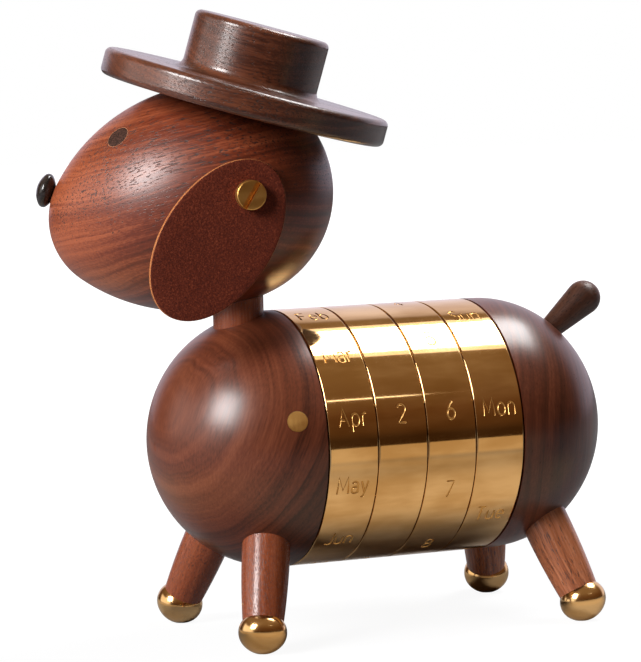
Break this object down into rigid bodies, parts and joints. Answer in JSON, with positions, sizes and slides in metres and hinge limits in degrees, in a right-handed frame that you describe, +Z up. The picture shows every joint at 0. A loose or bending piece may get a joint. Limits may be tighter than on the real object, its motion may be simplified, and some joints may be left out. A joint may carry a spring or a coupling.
{
  "type": "wooden calendar",
  "caption": "Turned walnut dog in a flat-brimmed hat, whose middle is a stack of brass rings that turn to show the date.",
  "frame": {"origin": "on the floor, at the middle of the outline seen from above", "axes": "+X from chest to tail along the rings' axis, +Y to the dog's right, +Z up"},
  "size_m": [0.1369, 0.0712, 0.1458],
  "materials": {
    "walnut": "satin oil",
    "head_wood": "satin oil",
    "hat_wood": "satin oil",
    "ring_brass": "mirror polish",
    "foot_brass": "mirror polish",
    "small_brass": "satin",
    "leather": "smooth, raw edge",
    "eye_wood": "satin",
    "nose_lacquer": "gloss lacquer",
    "washer_fibre": "matte",
    "steel": "zinc plated"
  },
  "bodies": {
    "body": {"front_body": "walnut", "rear_body": "walnut", "neck_dowel": "walnut", "tail": "walnut", "core": "walnut", "front_left_leg": "walnut", "front_right_leg": "walnut", "rear_left_leg": "walnut", "rear_right_leg": "walnut", "front_left_foot": "foot_brass", "front_right_foot": "foot_brass", "rear_left_foot": "foot_brass", "rear_right_foot": "foot_brass", "index_pin": "small_brass", "front_insert": "small_brass", "rear_insert": "small_brass", "ring_washers": "washer_fibre", "tie_rod": "steel", "foot_studs": "steel"},
    "turning_head": {"head": "head_wood", "left_eye": "eye_wood", "right_eye": "eye_wood", "nose": "nose_lacquer", "left_ear_screw": "small_brass", "right_ear_screw": "small_brass", "hat": "hat_wood", "hat_peg": "walnut"},
    "swinging_left_ear": {"left_ear": "leather"},
    "swinging_right_ear": {"right_ear": "leather"},
    "turning_month_ring": {"month_ring": "ring_brass"},
    "turning_tens_ring": {"tens_ring": "ring_brass"},
    "turning_units_ring": {"units_ring": "ring_brass"},
    "turning_weekday_ring": {"weekday_ring": "ring_brass"}
  },
  "joints": [
    {"name": "month_turn", "type": "hinge", "parent": "body", "child": "turning_month_ring", "pos_m": [0, 0, 0.04564], "axis": [1, 0, 0], "continuous": true},
    {"name": "tens_turn", "type": "hinge", "parent": "body", "child": "turning_tens_ring", "pos_m": [0, 0, 0.04564], "axis": [1, 0, 0], "continuous": true},
    {"name": "units_turn", "type": "hinge", "parent": "body", "child": "turning_units_ring", "pos_m": [0, 0, 0.04564], "axis": [1, 0, 0], "continuous": true},
    {"name": "weekday_turn", "type": "hinge", "parent": "body", "child": "turning_weekday_ring", "pos_m": [0, 0, 0.04564], "axis": [1, 0, 0], "continuous": true},
    {"name": "head_turn", "type": "hinge", "parent": "body", "child": "turning_head", "pos_m": [-0.02705, 0, 0.04564], "axis": [0, 0, 1], "range_deg": [-17, 73]},
    {"name": "left_ear_swing", "type": "hinge", "parent": "turning_head", "child": "swinging_left_ear", "pos_m": [-0.03392, -0.02349, 0.10393], "axis": [0.1742, 0.9846, -0.016], "range_deg": [-17, 65]},
    {"name": "right_ear_swing", "type": "hinge", "parent": "turning_head", "child": "swinging_right_ear", "pos_m": [-0.01141, 0.01883, 0.10393], "axis": [0.7188, 0.695, 0.016], "range_deg": [-4, 77]}
  ]
}
